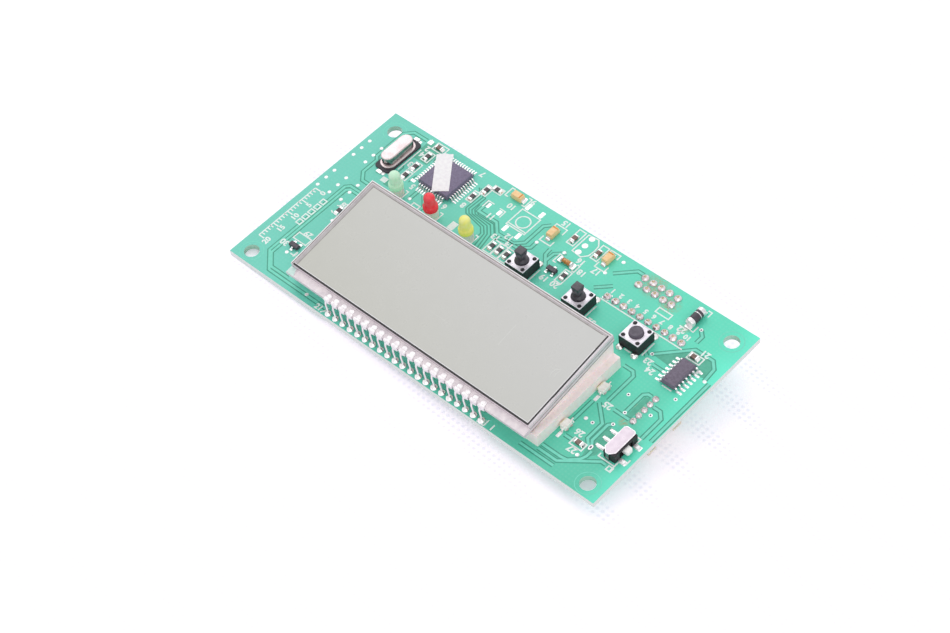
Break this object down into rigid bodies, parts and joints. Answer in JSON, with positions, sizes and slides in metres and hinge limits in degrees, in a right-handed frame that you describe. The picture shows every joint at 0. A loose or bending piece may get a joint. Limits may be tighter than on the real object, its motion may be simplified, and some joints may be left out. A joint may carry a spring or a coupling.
{
  "type": "instrument display board",
  "caption": "Circuit board with a tilted segment display on a light guide, three indicator lamps, push buttons, a slide switch and connectors below.",
  "frame": {"origin": "centre of the four mounting holes, on the underside of the board", "axes": "+X along the board's length towards the slide switch, +Y towards the lamps' edge away from the display's pins, +Z out of the display side"},
  "size_m": [0.12, 0.06, 0.0209],
  "materials": {
    "fr4_board": "glossy green solder mask on glass-fibre laminate",
    "solder": "bright solder, softly domed",
    "display_glass": "clear flat glass",
    "display_seal": "dark printed seal",
    "polariser_film": "grey reflective film, satin",
    "tinned_pin": "tinned spring strip, satin",
    "pin_resin": "white sealing resin",
    "acrylic": "clear cast acrylic, polished ends",
    "white_film": "white diffusing film",
    "lamp_housing": "white moulded lamp body",
    "lamp_window": "yellow phosphor gel",
    "green_lens": "tinted diffusing epoxy",
    "red_lens": "tinted diffusing epoxy",
    "yellow_lens": "tinted diffusing epoxy",
    "spacer_nylon": "natural nylon",
    "switch_plastic": "black moulded nylon",
    "switch_cover": "bright tinned steel sheet",
    "spring_steel": "thin stainless spring sheet",
    "plunger_plastic": "black moulded acetal",
    "knob_plastic": "white moulded acetal",
    "contact_brass": "plated spring brass",
    "crystal_base": "black moulded base",
    "crystal_steel": "nickel-plated drawn steel, satin",
    "quartz": "polished quartz",
    "chip_epoxy": "black moulded epoxy, fine matt",
    "label_paper": "plain white label",
    "tantalum_epoxy": "orange moulded epoxy",
    "diode_epoxy": "black glossy tube",
    "bead_glass": "amber glass bead",
    "resistor_glaze": "dark glazed ceramic",
    "capacitor_ceramic": "brown ceramic",
    "header_plastic": "black moulded polyester",
    "connector_nylon": "natural moulded nylon"
  },
  "bodies": {
    "root": {"circuit_board": "fr4_board", "display_joints": "solder", "header_joints": "solder", "button_joints": "solder", "underside_joints": "solder", "lcd_front_glass": "display_glass", "lcd_rear_glass": "display_glass", "lcd_seal": "display_seal", "lcd_front_polariser": "polariser_film", "lcd_rear_polariser": "polariser_film", "lcd_contact_pins": "tinned_pin", "lcd_pin_resin": "pin_resin", "light_guide": "acrylic", "guide_reflector": "white_film", "guide_diffuser": "white_film", "side_led_bodies": "lamp_housing", "side_led_windows": "lamp_window", "green_lamp": "green_lens", "red_lamp": "red_lens", "yellow_lamp": "yellow_lens", "lamp_spacers": "spacer_nylon", "lamp_leads": "tinned_pin", "button_housings": "switch_plastic", "button_covers": "switch_cover", "button_snap_domes": "spring_steel", "button_legs": "tinned_pin", "slide_switch_body": "switch_plastic", "slide_switch_cover": "switch_cover", "slide_switch_leads": "tinned_pin", "crystal_base": "crystal_base", "crystal_can": "crystal_steel", "crystal_blank": "quartz", "crystal_leads": "tinned_pin", "controller_body": "chip_epoxy", "controller_leads": "tinned_pin", "controller_label": "label_paper", "small_chip_body": "chip_epoxy", "small_chip_leads": "tinned_pin", "transistor_bodies": "chip_epoxy", "transistor_leads": "tinned_pin", "tantalum_bodies": "tantalum_epoxy", "tantalum_terminals": "tinned_pin", "tube_diode_body": "diode_epoxy", "tube_diode_caps": "tinned_pin", "glass_diode_bead": "bead_glass", "glass_diode_caps": "tinned_pin", "chip_resistors": "resistor_glaze", "chip_capacitors": "capacitor_ceramic", "chip_ends": "tinned_pin", "row_header_base": "header_plastic", "row_header_pins": "contact_brass", "pair_header_base": "header_plastic", "pair_header_pins": "contact_brass", "side_connector_housing": "connector_nylon", "side_connector_pins": "tinned_pin"},
    "left_button": {"tall_button_left": "plunger_plastic"},
    "middle_button": {"tall_button_right": "plunger_plastic"},
    "right_button": {"low_button": "plunger_plastic"},
    "slider": {"slide_knob": "knob_plastic", "slide_contact": "contact_brass"}
  },
  "joints": [
    {"name": "left_button_press", "type": "slide", "parent": "root", "child": "left_button", "axis": [0, 0, -1], "range_m": [0, 0.00025], "stiffness_N_per_m": 1000},
    {"name": "middle_button_press", "type": "slide", "parent": "root", "child": "middle_button", "axis": [0, 0, -1], "range_m": [0, 0.00025], "stiffness_N_per_m": 1000},
    {"name": "right_button_press", "type": "slide", "parent": "root", "child": "right_button", "axis": [0, 0, -1], "range_m": [0, 0.00025], "stiffness_N_per_m": 1000},
    {"name": "slider_slide", "type": "slide", "parent": "root", "child": "slider", "axis": [0, 1, 0], "range_m": [-0.0012, 0.0012]}
  ]
}
